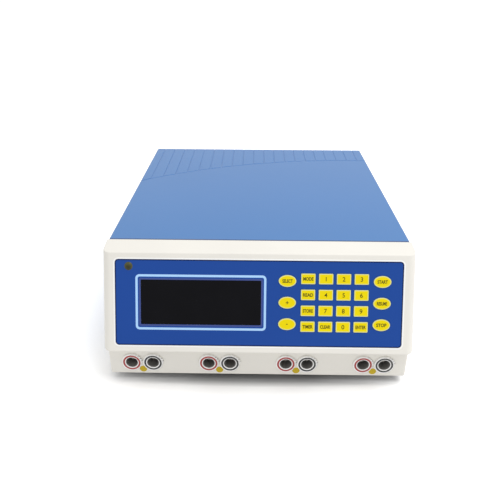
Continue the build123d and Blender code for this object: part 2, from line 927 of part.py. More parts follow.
def make_nuts():
    """Hexagon nuts that pull the sockets against the bezel."""
    group = []
    for x in socket_xs:
        y = socket_face_y + wall + nut_thick
        hexagon = RegularPolygon(nut_flats / 2, 6, major_radius=False)
        nut = Pos(x, y, socket_height) * Rot(90, 0, 0) * extrude(Rot(0, 0, 30) * hexagon, amount=nut_thick)
        bore = socket_barrel + 2 * ring_slip
        group.append(nut - rod_y(x, y - nut_thick - past, y + past, socket_height, bore))
    return Compound(children=group)


terminal_front_y = power_front + terminal_edge


def make_terminals():
    """Screw terminals along the power board's front edge, one for each output."""
    group = []
    for x in socket_xs:
        top = 2 * socket_height - power_top
        block = span(
            x - terminal_width / 2, x + terminal_width / 2, terminal_front_y,
            terminal_front_y + terminal_depth, power_top, top,
        )
        block -= rod_z(
            x, terminal_front_y + terminal_depth / 2, top - drive_depth, top + past, terminal_width / 2,
        )
        group.append(block)
    return Compound(children=group)


def make_output_wires():
    """Insulated wires from the sockets' tails to the terminals."""
    return Compound(
        children=[rod_y(x, contact_back_y, terminal_front_y, socket_height, wire_diameter)
        for x in socket_xs]
    )


def make_power_board():
    """Large circuit board on the floor's bosses."""
    half = power_board_width / 2
    board = span(-half, half, power_front, power_back, power_board_height, power_top)
    for x, y in power_boss_points:
        board -= rod_z(x, y, power_board_height - past, power_top + past, screw_hole3)
    return board


def make_capacitors():
    """Round filter capacitors on the power board."""
    group = []
    for k in range(capacitor_count):
        x = capacitor_x + k * capacitor_pitch
        y = power_front + capacitor_back
        can = rod_z(x, y, power_top, power_top + capacitor_height, capacitor_diameter)
        group.append(fillet(can.edges(), capacitor_round))
    return Compound(children=group)


sink_front_y = power_back - sink_length - sink_rear_gap
sink_faces = (sink_x, sink_x + sink_gap)


def make_heatsinks():
    """Two finned aluminium sinks, their fins lying along the air's way to the fan."""
    group = []
    for x0, side in ((sink_faces[0], 1), (sink_faces[1], -1)):
        low = power_top
        high = low + sink_height
        x1 = x0 + side * sink_plate
        body = span(min(x0, x1), max(x0, x1), sink_front_y, sink_front_y + sink_length, low, high)
        for k in range(sink_fin_count):
            z = low + (k + 0.5) * sink_height / sink_fin_count
            tip = x1 + side * sink_fin_length
            root = x1 - side
            body += span(
                min(root, tip), max(root, tip), sink_front_y, sink_front_y + sink_length,
                z - sink_fin / 2, z + sink_fin / 2,
            )
        group.append(body)
    return Compound(children=group)


def make_transistors():
    """Power transistors flat against the sinks, their legs in the board."""
    group = []
    for face, side in ((sink_faces[0], -1), (sink_faces[1], 1)):
        for k in range(transistor_count):
            y = sink_front_y + sink_length / 2 + (k - (transistor_count - 1) / 2) * transistor_pitch
            x1 = face + side * transistor_thick
            low = power_top + transistor_lift
            body = span(
                min(face, x1), max(face, x1), y - transistor_width / 2, y + transistor_width / 2, low,
                low + transistor_height,
            )
            middle = (face + x1) / 2
            for leg in (-1, 0, 1):
                at = y + leg * transistor_width / 3
                r = transistor_leg / 2
                body += span(middle - r, middle + r, at - r, at + r, power_top, low)
            group.append(body)
    return Compound(children=group)


def make_core():
    """Laminated core, lying flat on four bosses."""
    hw = core_width / 2
    hd = core_depth / 2
    core = span(core_x - hw, core_x + hw, core_y - hd, core_y + hd, core_bottom, core_top)
    for side in (-1, 1):
        near, far = sorted((side * core_leg / 2, side * (core_leg / 2 + core_window)))
        core -= span(
            core_x + near, core_x + far, core_y - core_window_depth / 2,
            core_y + core_window_depth / 2, core_bottom - past, core_top + past,
        )
    for x, y in core_bolt_points:
        core -= rod_z(x, y, core_bottom - past, core_top + past, screw_hole4)
    return core


def make_coil():
    """Wound coil around the core's middle leg."""
    hw = core_leg / 2 + core_window - coil_slip
    hd = core_window_depth / 2 - coil_slip
    coil = span(
        core_x - hw, core_x + hw, core_y - hd, core_y + hd, core_bottom - coil_build,
        core_top + coil_build,
    )
    along = coil.edges().filter_by(Axis.Y)
    coil = fillet(along, coil_round)
    inner = core_leg / 2 + coil_slip
    return coil - span(
        core_x - inner, core_x + inner, core_y - hd - past, core_y + hd + past,
        core_bottom - coil_slip, core_top + coil_slip,
    )


def make_core_bolts():
    """Long bolts down through the core into the floor's bosses."""
    bolt = machine_screw(screw4_diameter, core_stack + core_bolt_bite, screw4_head, screw4_head_height)
    return Compound(children=[Pos(x, y, core_top) * bolt for x, y in core_bolt_points])


def make_ribbon():
    """Flat cable from the front board's back down to the power board."""
    start = face_plane.location * Pos(0, ribbon_start, board_back)
    away = face_plane.location * Pos(0, ribbon_start, board_back - ribbon_drop)
    y0, z0 = start.position.Y, start.position.Z
    y1, z1 = away.position.Y, away.position.Z
    y2 = power_front + ribbon_landing
    path = Plane.YZ * FilletPolyline((y0, z0), (y1, z1), (y2, z1), (y2, power_top), radius=ribbon_bend)
    section = Plane(origin=(ribbon_x, y0, z0), x_dir=(1, 0, 0), z_dir=tuple(-c for c in face_normal))
    cable = sweep(section * Rectangle(ribbon_width, ribbon_thick), path=Pos(ribbon_x, 0, 0) * path)
    half = ribbon_width / 2 + 1
    plug = span(
        ribbon_x - half, ribbon_x + half, y2 - ribbon_plug / 2, y2 + ribbon_plug / 2, power_top,
        power_top + ribbon_plug,
    )
    socket = on_face(
        ribbon_x, ribbon_start, board_back - ribbon_plug, board_back, Rectangle(2 * half, ribbon_plug),
    )
    return cable + plug + socket


pin_back_y = panel_back_y + inlet_flange_thick - inlet_well_depth
inlet_back_y = panel_back_y - inlet_body_depth
pin_places = [(-pin_spacing / 2, 0), (pin_spacing / 2, 0), (0, pin_earth_up)]
inlet_well_z = inlet_height + inlet_well_up
drawer_z = inlet_height - drawer_down
drawer_front_y = panel_back_y + inlet_flange_thick + drawer_proud
drawer_back_y = drawer_front_y - drawer_depth


def make_inlet():
    """Three-pole mains inlet moulding with a well for the connector and a slot for the fuse drawer."""
    outer_y = panel_back_y + inlet_flange_thick
    body = Pos(inlet_x, panel_back_y, inlet_height) * Rot(-90, 0, 0) * extrude(
        rounded(inlet_flange_width, inlet_flange_height, inlet_corner), amount=inlet_flange_thick)
    hw = inlet_body_width / 2
    hh = inlet_body_height / 2
    body += span(
        inlet_x - hw, inlet_x + hw, inlet_back_y, panel_back_y + past, inlet_height - hh,
        inlet_height + hh,
    )
    ww = inlet_well_width / 2
    wh = inlet_well_height / 2
    well = span(
        inlet_x - ww, inlet_x + ww, pin_back_y, outer_y + past, inlet_well_z - wh, inlet_well_z + wh,
    )
    upper = [e for e in well.edges().filter_by(Axis.Y) if e.center().Z > inlet_well_z]
    body -= chamfer(upper, inlet_well_chamfer)
    for px, pz in pin_places:
        x = inlet_x + px
        z = inlet_well_z + pz
        w = pin_thick / 2 + pin_slack
        h = pin_wide / 2 + pin_slack
        body -= span(x - w, x + w, inlet_back_y - past, pin_back_y + past, z - h, z + h)
    dw = drawer_width / 2 + drawer_slip
    dh = drawer_height / 2 + drawer_slip
    body -= span(
        inlet_x - dw, inlet_x + dw, drawer_back_y - 2 * drawer_slip, outer_y + past, drawer_z - dh,
        drawer_z + dh,
    )
    for side in (-1, 1):
        x = inlet_x + side * inlet_screw_pitch / 2
        body -= rod_y(x, panel_back_y - past, outer_y + past, inlet_height, screw_hole3)
    return body


def make_pins():
    """Flat contact pins of the inlet, with tabs behind it."""
    group = []
    for px, pz in pin_places:
        x = inlet_x + px
        z = inlet_well_z + pz
        w = pin_thick / 2
        h = pin_wide / 2
        pin = span(x - w, x + w, inlet_back_y - pin_tab, pin_back_y + pin_length, z - h, z + h)
        tip = [e for e in pin.edges() if abs(e.center().Y - pin_back_y - pin_length) < 0.01]
        group.append(chamfer(tip, pin_chamfer))
    return Compound(children=group)


def make_drawer():
    """Pull-out fuse drawer, open on top over its two fuses."""
    hw = drawer_width / 2
    hh = drawer_height / 2
    drawer = span(inlet_x - hw, inlet_x + hw, drawer_back_y, drawer_front_y, drawer_z - hh, drawer_z + hh)
    inner_front = drawer_front_y - drawer_face
    drawer -= span(
        inlet_x - hw + drawer_wall, inlet_x + hw - drawer_wall, drawer_back_y + drawer_wall,
        inner_front, drawer_z - hh + drawer_wall, drawer_z + hh + past,
    )
    drawer -= span(
        inlet_x - hw / 3, inlet_x + hw / 3, drawer_front_y - drawer_face / 2, drawer_front_y + past,
        drawer_z + hh / 3, drawer_z + hh + past,
    )
    return drawer


def make_fuses():
    """Two fuses lying in the drawer."""
    group = []
    middle = (drawer_front_y - drawer_face + drawer_back_y + drawer_wall) / 2
    z = drawer_z - drawer_height / 2 + drawer_wall + fuse_diameter / 2
    for side in (-1, 1):
        x = inlet_x + side * fuse_spacing / 2
        group.append(rod_y(x, middle - fuse_length / 2, middle + fuse_length / 2, z, fuse_diameter))
    return Compound(children=group)


rocker_face_y = panel_back_y + rocker_flange_thick
rocker_pivot_y = rocker_face_y - rocker_pivot_sink
rocker_well_half = sqrt(rocker_half**2 + rocker_crest**2) + rocker_end_gap
rocker_dip = rocker_keel + rocker_keel_half * sin(radians(rocker_angle))
rocker_well_floor = rocker_pivot_y - rocker_dip - rocker_floor_gap
rocker_back_y = rocker_face_y - rocker_body_depth


def make_switch_housing():
    """Mains switch body with the well that its rocker swings in."""
    outer = rounded(rocker_flange_width, rocker_flange_height, rocker_flange_corner)
    body = Pos(rocker_x, panel_back_y, inlet_height) * Rot(-90, 0, 0) * extrude(
        outer, amount=rocker_flange_thick,
    )
    hw = rocker_body_width / 2
    hh = rocker_body_height / 2
    body += span(
        rocker_x - hw, rocker_x + hw, rocker_back_y, panel_back_y + past, inlet_height - hh,
        inlet_height + hh,
    )
    ww = rocker_width / 2 + rocker_side_gap
    body -= span(
        rocker_x - ww, rocker_x + ww, rocker_well_floor, rocker_face_y + past,
        inlet_height - rocker_well_half, inlet_height + rocker_well_half,
    )
    reach = ww + rocker_pin_length
    body -= rod_x(
        rocker_x - reach, rocker_x + reach, rocker_pivot_y, inlet_height,
        rocker_pin + 2 * rocker_pin_gap,
    )
    tab = rocker_tab_thick / 2
    for sx in (-1, 1):
        for sz in (-1, 1):
            x = rocker_x + sx * hw / 2
            z = inlet_height + sz * hh / 2
            body += span(
                x - pin_wide / 2, x + pin_wide / 2, rocker_back_y - rocker_tab, rocker_back_y + past,
                z - tab, z + tab,
            )
    return body


def make_rocker():
    """Rocker of the mains switch, resting with its lower end pressed in."""
    drop = rocker_half * tan(radians(rocker_angle))
    outline = [
        (rocker_crest, -rocker_half), (rocker_crest - drop, 0), (rocker_crest, rocker_half),
        (-rocker_keel, rocker_keel_half), (-rocker_keel, -rocker_keel_half),
    ]
    rocker = side_profile(outline, rocker_width / 2)
    side_reach = rocker_width / 2 + rocker_side_gap + rocker_pin_length - rocker_side_gap / 2
    rocker += rod_x(-side_reach, side_reach, 0, 0, rocker_pin)
    return Pos(rocker_x, rocker_pivot_y, inlet_height) * Rot(-rocker_angle, 0, 0) * rocker


fan_back_y = panel_front_y
fan_front_y = fan_back_y - fan_depth


def make_fan_frame():
    """Square fan frame with a round duct, four struts and the motor's seat."""
    half = fan_size / 2
    frame = span(fan_x - half, fan_x + half, fan_front_y, fan_back_y, fan_height - half, fan_height + half)
    frame = fillet(frame.edges().filter_by(Axis.Y), fan_corner)
    frame -= rod_y(fan_x, fan_front_y - past, fan_back_y + past, fan_height, fan_bore)
    for sx in (-1, 1):
        for sz in (-1, 1):
            x = fan_x + sx * fan_screw_pitch / 2
            z = fan_height + sz * fan_screw_pitch / 2
            frame -= rod_y(x, fan_front_y - past, fan_back_y + past, z, fan_pilot)
    bar = span(
        -fan_bore / 2 - past, fan_bore / 2 + past, fan_front_y, fan_front_y + fan_strut_thick,
        -fan_strut_width / 2, fan_strut_width / 2,
    )
    place = Pos(fan_x, 0, fan_height)
    frame += place * Rot(0, 45, 0) * bar
    frame += place * Rot(0, -45, 0) * bar
    frame += rod_y(fan_x, fan_front_y, fan_front_y + fan_strut_thick, fan_height, fan_hub)
    frame -= rod_y(
        fan_x, fan_front_y + fan_bearing_floor, fan_back_y, fan_height, fan_shaft + 2 * fan_shaft_gap,
    )
    return frame


def make_fan_rotor():
    """Fan rotor: hub, shaft and pitched blades."""
    y0 = fan_front_y + fan_strut_thick + fan_axial_gap
    y1 = fan_back_y - fan_axial_gap
    rotor = rod_y(0, y0, y1, 0, fan_hub)
    middle = (y0 + y1) / 2
    root = fan_hub / 2 - blade_root_sink
    tip = fan_bore / 2 - fan_tip_gap
    room = rod_y(0, y0 + blade_end_gap, y1 - blade_end_gap, 0, 2 * tip)
    for k in range(blade_count):
        blade = Pos((root + tip) / 2, 0, 0) * Rot(blade_angle, 0, 0) * Box(
            tip - root, blade_chord, blade_thick,
        )
        turned = Rot(0, k * 360 / blade_count, 0) * blade
        rotor += Pos(0, middle, 0) * turned & room
    rotor += rod_y(0, fan_front_y + fan_bearing_floor + fan_shaft_end_gap, y0 + past, 0, fan_shaft)
    return Pos(fan_x, 0, fan_height) * rotor


def make_fan_guard():
    """Wire guard: rings welded to four legs that end in screw eyes."""
    y = panel_back_y + guard_wire / 2
    r = guard_wire / 2
    eye_reach = fan_screw_pitch / sqrt(2)
    guard = None
    for k in range(guard_rings):
        ring = Pos(0, y, 0) * Rot(90, 0, 0) * Torus(guard_first + k * guard_step, r)
        guard = ring if guard is None else guard + ring
    for k in range(4):
        leg = rod_x(guard_first, eye_reach - guard_eye, y, 0, guard_wire)
        eye = Pos(eye_reach, y, 0) * Rot(90, 0, 0) * Torus(guard_eye, r)
        guard += Rot(0, 45 + 90 * k, 0) * (leg + eye)
    return Pos(fan_x, 0, fan_height) * guard


def wire(points, bend):
    """One insulated wire through a few points, with round bends."""
    path = FilletPolyline(*points, radius=bend)
    return sweep(Plane(origin=path @ 0, z_dir=path % 0) * Circle(wire_diameter / 2), path=path)


def make_mains_wires():
    """Wires from the inlet's tabs to the switch, and from the switch to the power board."""
    tab_y = inlet_back_y - pin_tab
    switch_y = rocker_back_y - rocker_tab
    near_x = rocker_x - rocker_body_width / 4
    far_x = rocker_x + rocker_body_width / 4
    low_z = inlet_height - rocker_body_height / 4
    high_z = inlet_height + rocker_body_height / 4
    live_x = inlet_x + pin_spacing / 2
    neutral_x = inlet_x - pin_spacing / 2
    loop = 10.0
    group = [
        wire([(live_x, tab_y, inlet_well_z), (live_x, tab_y - loop, inlet_well_z),
              (near_x, tab_y - loop, high_z), (near_x, switch_y, high_z)], loop * 0.4),
        wire([(neutral_x, tab_y, inlet_well_z), (neutral_x, tab_y - 2 * loop, inlet_well_z),
              (far_x, tab_y - 2 * loop, high_z + loop), (far_x, switch_y - loop, high_z),
              (far_x, switch_y, high_z)], loop * 0.4),
    ]
    for x in (near_x, far_x):
        landing = power_back - loop
        group.append(wire([(x, switch_y, low_z), (x, landing, low_z), (x, landing, power_top)], loop * 0.8))
    return Compound(children=group)


pieces = {
    "top_cover": make_top_cover(),
    "base_shell": make_base_shell(),
    "front_bezel": make_front_bezel(),
    "rear_panel": make_rear_panel(),
    "rubber_feet": make_feet(),
    "case_screws": make_case_screws(),
    "board_screws": make_board_screws(),
    "panel_overlay": make_overlay(),
    "display_window": make_display_window(),
    "display_module": make_display_module(),
    "front_board": make_front_board(),
    "key_switches": make_key_switches(),
    "indicator_lamp": make_lamp(),
    "socket_bodies": make_socket_bodies(),
    "red_rings": make_rings(red_sockets),
    "black_rings": make_rings(black_sockets),
    "socket_contacts": make_contacts(),
    "socket_nuts": make_nuts(),
    "output_wires": make_output_wires(),
    "power_board": make_power_board(),
    "terminal_blocks": make_terminals(),
    "filter_capacitors": make_capacitors(),
    "heatsinks": make_heatsinks(),
    "power_transistors": make_transistors(),
    "transformer_core": make_core(),
    "transformer_coil": make_coil(),
    "transformer_bolts": make_core_bolts(),
    "ribbon_cable": make_ribbon(),
    "mains_wires": make_mains_wires(),
    "mains_inlet": make_inlet(),
    "inlet_pins": make_pins(),
    "fuse_drawer": make_drawer(),
    "fuses": make_fuses(),
    "switch_housing": make_switch_housing(),
    "power_rocker": make_rocker(),
    "fan_frame": make_fan_frame(),
    "fan_rotor": make_fan_rotor(),
    "fan_guard": make_fan_guard(),
}
for name, x, v, oval in key_places:
    pieces["key_" + name] = make_key(x, v, oval)

os.makedirs("parts", exist_ok=True)
for name, shape in pieces.items():
    export_step(shape, f"parts/{name}.step")
print(len(pieces), "nodes")
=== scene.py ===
import json
from math import cos, radians, sin

import bpy
from mathutils import Matrix, Vector

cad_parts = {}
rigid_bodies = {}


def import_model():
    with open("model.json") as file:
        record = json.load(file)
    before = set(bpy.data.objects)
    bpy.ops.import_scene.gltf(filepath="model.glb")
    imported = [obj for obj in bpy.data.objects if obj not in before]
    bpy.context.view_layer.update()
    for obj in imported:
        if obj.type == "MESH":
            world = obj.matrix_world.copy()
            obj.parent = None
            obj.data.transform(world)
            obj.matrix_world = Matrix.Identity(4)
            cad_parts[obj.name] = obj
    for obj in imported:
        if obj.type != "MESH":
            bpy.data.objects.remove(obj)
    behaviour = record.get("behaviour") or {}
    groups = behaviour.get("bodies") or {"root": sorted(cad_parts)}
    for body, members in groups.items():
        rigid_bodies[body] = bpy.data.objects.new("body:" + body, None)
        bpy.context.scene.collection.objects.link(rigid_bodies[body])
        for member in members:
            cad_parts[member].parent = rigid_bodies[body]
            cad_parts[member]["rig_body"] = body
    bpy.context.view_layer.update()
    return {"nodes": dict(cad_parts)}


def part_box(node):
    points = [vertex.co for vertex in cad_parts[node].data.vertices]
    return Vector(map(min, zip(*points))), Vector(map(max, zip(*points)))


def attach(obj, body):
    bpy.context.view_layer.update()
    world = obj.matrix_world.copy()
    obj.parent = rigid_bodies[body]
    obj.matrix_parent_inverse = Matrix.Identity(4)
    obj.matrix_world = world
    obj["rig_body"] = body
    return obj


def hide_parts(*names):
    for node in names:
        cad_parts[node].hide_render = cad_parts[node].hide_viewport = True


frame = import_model()
mm = 0.001

# Camera. It stands in front of the instrument and above it, and looks down on the cover,
# turned and rolled by a fraction of a degree as a hand-held camera is.
photo_width = 500
sensor_width = 36
focal_pixels = 545.76
camera_pitch = radians(27.5)
camera_yaw = radians(-0.549)
camera_roll = radians(-0.335)
camera_place = Vector((-4.41, -607.06, 378.81)) * mm

bpy.ops.object.camera_add(location=camera_place)
camera = bpy.context.object
camera.data.sensor_width = sensor_width
camera.data.lens = sensor_width * focal_pixels / photo_width
ahead = Vector((
    sin(camera_yaw) * cos(camera_pitch), cos(camera_yaw) * cos(camera_pitch), -sin(camera_pitch),
))
level = Vector((cos(camera_yaw), -sin(camera_yaw), 0))
upright = level.cross(ahead)
right = cos(camera_roll) * level - sin(camera_roll) * upright
up = right.cross(ahead)
turn = Matrix((right, up, -ahead)).transposed()
camera.rotation_euler = turn.to_euler()
bpy.context.scene.camera = camera
bpy.context.scene.view_settings.view_transform = "Standard"

# Studio. A white floor in an even pale room, and one large soft lamp overhead that leaves a
# short soft shadow. Floor and room show as white to the camera, in mirrors and through glass.
class Tone:
    """The output of a node, which takes part in sums as a number would."""

    def __init__(self, nodes, socket):
        self.nodes = nodes
        self.socket = socket

    def maths(self, operation, first, second):
        """A Math node on two values."""
        return self.nodes.tone("ShaderNodeMath", {"operation": operation}, {0: first, 1: second})

    def __add__(self, other):
        return self.maths("ADD", self, other)

    def __radd__(self, other):
        return self.maths("ADD", other, self)

    def __sub__(self, other):
        return self.maths("SUBTRACT", self, other)

    def __rsub__(self, other):
        return self.maths("SUBTRACT", other, self)

    def __mul__(self, other):
        return self.maths("MULTIPLY", self, other)

    def __rmul__(self, other):
        return self.maths("MULTIPLY", other, self)

    def __gt__(self, other):
        return self.maths("GREATER_THAN", self, other)

    def __lt__(self, other):
        return self.maths("LESS_THAN", self, other)


class Nodes:
    """The node tree of a material or a world, emptied and ready to be filled."""

    def __init__(self, owner):
        owner.use_nodes = True
        self.tree = owner.node_tree
        self.tree.nodes.clear()

    def node(self, kind, settings, inputs):
        """A node with its settings made first, then the values or links of its sockets."""
        node = self.tree.nodes.new(kind)
        for key, value in settings.items():
            setattr(node, key, value)
        for key, value in inputs.items():
            if isinstance(value, Tone):
                self.tree.links.new(value.socket, node.inputs[key])
            else:
                node.inputs[key].default_value = value
        return node

    def tone(self, kind, settings, inputs, output=0):
        """The same, as a value that can be reckoned with."""
        return Tone(self, self.node(kind, settings, inputs).outputs[output])

    def stretched(self, place, stretch):
        """A place with each of its coordinates multiplied."""
        return self.tone("ShaderNodeVectorMath", {"operation": "MULTIPLY"}, {0: place, 1: stretch})

    def distance(self, place, stretch):
        """How far a place lies from the origin, once each of its coordinates is multiplied."""
        far = {0: self.stretched(place, stretch)}
        return self.tone("ShaderNodeVectorMath", {"operation": "LENGTH"}, far, "Value")

    def capped_sum(self, first, second):
        """A sum that goes no further than 1."""
        settings = {"operation": "ADD", "use_clamp": True}
        return self.tone("ShaderNodeMath", settings, {0: first, 1: second})

    def ramp(self, value, start, end, low, high):
        """A value that rises from low to high while another goes from start to end."""
        return self.tone("ShaderNodeMapRange", {}, {
            "Value": value, "From Min": start, "From Max": end, "To Min": low, "To Max": high,
        })

    def shown_white(self, plain, white, output):
        """Joins two shaders: a plain one that gives light, and a white one for what is seen."""
        rays = self.node("ShaderNodeLightPath", {}, {}).outputs
        mirrored = Tone(self, rays["Is Glossy Ray"]) + Tone(self, rays["Is Transmission Ray"])
        seen = self.capped_sum(Tone(self, rays["Is Camera Ray"]), mirrored)
        both = self.tone("ShaderNodeMixShader", {}, {0: seen, 1: plain, 2: white})
        self.node(output, {}, {"Surface": both})


room_light = 0.76
world = bpy.data.worlds.new("room")
bpy.context.scene.world = world
room = Nodes(world)
around = room.tone("ShaderNodeBackground", {}, {"Color": (1, 1, 1, 1), "Strength": room_light})
backdrop = room.tone("ShaderNodeBackground", {}, {"Color": (1, 1, 1, 1)})
room.shown_white(around, backdrop, "ShaderNodeOutputWorld")

lamp_place = (0.9, -0.35, 1.9)
lamp_power = 21
lamp_size = 1.5
bpy.ops.object.light_add(type="AREA", location=lamp_place)
overhead = bpy.context.object
overhead.data.size = lamp_size
overhead.data.energy = lamp_power

# the floor's seen colour is painted: lighter away from the instrument, and a painted shadow below
# its front on top of the real one
floor_half = 30
floor_drop = -0.2 * mm
floor_colour = (0.85, 0.85, 0.85, 1)
glow_stretch, glow_start, glow_end, glow_low, glow_high = (1.5, 1, 1), 0.19, 0.34, 1.05, 1.4
front_stretch, front_start, front_end = (0.33, 1, 0), 0.171, 0.181
side_stretch, side_start, side_end = (1, 0, 0), 0.05, 0.15
painted_shadow_low = 0.44
bpy.ops.mesh.primitive_plane_add(size=2 * floor_half, location=(0, 0, floor_drop))
floor = bpy.context.object
floor.name = "studio_floor"
floor_white = bpy.data.materials.new("floor_white")
paint = Nodes(floor_white)
place = paint.tone("ShaderNodeTexCoord", {}, {}, "Object")
away = paint.distance(place, glow_stretch)
before = paint.distance(place, front_stretch)
beside = paint.distance(place, side_stretch)
# painted shadow: the seen floor is darkened just before and beside the instrument, by place alone
front_painted_shade = paint.ramp(before, front_start, front_end, painted_shadow_low, 1)
side_painted_shade = paint.ramp(beside, side_start, side_end, painted_shadow_low, 1)
out = paint.tone("ShaderNodeMath", {"operation": "MAXIMUM"}, {0: front_painted_shade, 1: side_painted_shade})
shown = out * paint.ramp(away, glow_start, glow_end, glow_low, glow_high)
plain_floor = paint.tone("ShaderNodeBsdfDiffuse", {}, {"Color": floor_colour})
shown_floor = paint.tone("ShaderNodeBsdfDiffuse", {}, {"Color": shown})
paint.shown_white(plain_floor, shown_floor, "ShaderNodeOutputMaterial")
floor.data.materials.append(floor_white)


# Base shell. A tray injection-moulded in cream plastic, with a fine matt grain. It carries
# everything inside on bosses, and long screws from below draw the cover down on it.
class Finish(Nodes):
    """One finish: a Principled shader and the nodes that vary it over a piece."""

    def __init__(
        self, name, roughness, metallic=0.0, coat=0.0, coat_roughness=0.03, specular=0.5,
    ):
        self.roughness = roughness
        self.material = bpy.data.materials.new(name)
        super().__init__(self.material)
        self.shader = self.node("ShaderNodeBsdfPrincipled", {}, {
            "Roughness": roughness, "Metallic": metallic, "Coat Weight": coat,
            "Coat Roughness": coat_roughness, "Specular IOR Level": specular,
        })
        surface = Tone(self, self.shader.outputs["BSDF"])
        self.node("ShaderNodeOutputMaterial", {}, {"Surface": surface})
        self.place = self.tone("ShaderNodeTexCoord", {}, {}, "Object")

    def feed(self, **links):
        """Values over the surface, led to the shader's own sockets."""
        for key, value in links.items():
            self.tree.links.new(value.socket, self.shader.inputs[key.replace("_", " ")])

    def noise(self, grain, detail=2.0, stretch=(1, 1, 1)):
        """Cloudy variation from 0 to 1, its lumps about one grain across."""
        return self.tone("ShaderNodeTexNoise", {}, {
            "Vector": self.stretched(self.place, stretch), "Scale": 1 / grain, "Detail": detail,
        })

    def uneven(self, amount, swing):
        """The finish's roughness, a little less or more as an amount goes from 0 to 1."""
        return self.roughness - swing + 2 * swing * amount

    def blend(self, amount, low, high):
        """One colour turning into another."""
        factor, first, second, result = 0, 6, 7, 2
        inputs = {factor: amount, first: low, second: high}
        return self.tone("ShaderNodeMix", {"data_type": "RGBA"}, inputs, result)

    def relief(self, height, depth):
        """Small relief of the surface, in metres, as a normal."""
        return self.tone("ShaderNodeBump", {}, {
            "Height": height, "Distance": depth, "Strength": 1.0,
        })

    def axis(self, which):
        """One coordinate of the place on the piece, in metres."""
        return self.tone("ShaderNodeSeparateXYZ", {}, {"Vector": self.place}, which)


def shade(colour, factor):
    """A colour made darker or lighter all over."""
    return tuple(c * factor for c in colour[:3]) + (1,)


def moulding(name, colour, roughness, grain=0.5 * mm, depth=0.012 * mm, coat=0.0):
    """Moulded plastic: a fine even grain, faint clouding, and slightly uneven gloss."""
    swing = 0.04
    finish = Finish(name, roughness, coat=coat)
    clouds = finish.noise(60 * mm, 3.0)
    specks = finish.noise(grain, 1.0)
    finish.feed(
        Base_Color=finish.blend(clouds, shade(colour, 1 - swing), shade(colour, 1 + swing)),
        Roughness=finish.uneven(clouds, swing),
        Normal=finish.relief(specks, depth),
    )
    return finish.material


crease = radians(35)
weld = 0.0005 * mm
level_within = radians(0.3)


def pick(piece):
    """Selects one piece and nothing else."""
    bpy.ops.object.select_all(action="DESELECT")
    piece.select_set(True)
    bpy.context.view_layer.objects.active = piece


def soften(piece, width, segments=2):
    """Rounds a piece's sharp edges a little and smooths the shading of its curves."""
    pick(piece)
    if width:
        bevel = piece.modifiers.new("edges", "BEVEL")
        bevel.width = width
        bevel.segments = segments
        bevel.limit_method = "ANGLE"
        bevel.angle_limit = crease
        bevel.use_clamp_overlap = False
        bpy.ops.object.modifier_apply(modifier="edges")
    bpy.ops.object.shade_smooth_by_angle(angle=crease)
    even = piece.modifiers.new("shading", "WEIGHTED_NORMAL")
    even.keep_sharp = True
    bpy.ops.object.modifier_apply(modifier="shading")


def skin(node, name, *materials):
    """A node's solid as one merged skin, ready to be worked on."""
    piece = bpy.data.objects.new(name, frame["nodes"][node].data.copy())
    bpy.context.scene.collection.objects.link(piece)
    piece.data.materials.clear()
    for material in materials:
        piece.data.materials.append(material)
    pick(piece)
    bpy.ops.object.mode_set(mode="EDIT")
    bpy.ops.mesh.select_all(action="SELECT")
    bpy.ops.mesh.remove_doubles(threshold=weld)
    bpy.ops.mesh.dissolve_limited(angle_limit=level_within)
    bpy.ops.object.mode_set(mode="OBJECT")
    for face in piece.data.polygons:
        face.material_index = 0
    return piece


def stand_for(piece, node):
    """The piece takes a node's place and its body."""
    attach(piece, frame["nodes"][node]["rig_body"])
    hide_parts(node)


def dress(node, name, material, edge, segments=2):
    """A node's skin in one finish, its edges softened, in the node's place."""
    piece = skin(node, name, material)
    soften(piece, edge, segments)
    stand_for(piece, node)


# the underside, which stands clear of the bench by the height of the feet, is dark grey: painted
# shade that deepens the shadow under the instrument
cream_plastic = moulding("cream_plastic", (0.83, 0.805, 0.745, 1), 0.42)
underside_painted_shade = moulding("underside_painted_shade", (0.05, 0.05, 0.052, 1), 0.6, grain=0.8 * mm)
underside_top = 9.5 * mm
facing_down = -0.9
base_shell = skin("base_shell", "base_tray", cream_plastic, underside_painted_shade)
# painted shade: the downward faces near the bench take the dark grey
for face in base_shell.data.polygons:
    if face.normal.z < facing_down and face.center.z < underside_top:
        face.material_index = 1
soften(base_shell, 0.35 * mm)
stand_for(base_shell, "base_shell")

# Feet. Four turned-down rubber buttons with a dull bloom, each held by a screw whose head
# sits up in its recess so that only rubber meets the bench.
rubber = moulding("foot_rubber", (0.025, 0.025, 0.027, 1), 0.7, grain=0.3 * mm, depth=0.02 * mm)
dress("rubber_feet", "feet", rubber, 0.5 * mm)


# Screws. Zinc-plated steel pan heads, driven from below into the case and from above into
# the boards, with a faint blue-yellow passivation and turned marks on their heads.
def plating(name, colour, roughness, tarnish, streak=(1, 1, 1)):
    """Plated metal: bright, with soft tarnish and fine scratches."""
    finish = Finish(name, roughness, metallic=1.0)
    clouds = finish.noise(4 * mm)
    scratches = finish.noise(0.25 * mm, stretch=streak)
    finish.feed(
        Base_Color=finish.blend(clouds, colour, tarnish),
        Roughness=finish.uneven(scratches, 0.06),
        Normal=finish.relief(scratches, 0.004 * mm),
    )
    return finish.material


zinc = plating("zinc", (0.62, 0.63, 0.64, 1), 0.32, (0.58, 0.56, 0.48, 1))
for node in ("case_screws", "board_screws"):
    dress(node, node + "_plated", zinc, 0.2 * mm)


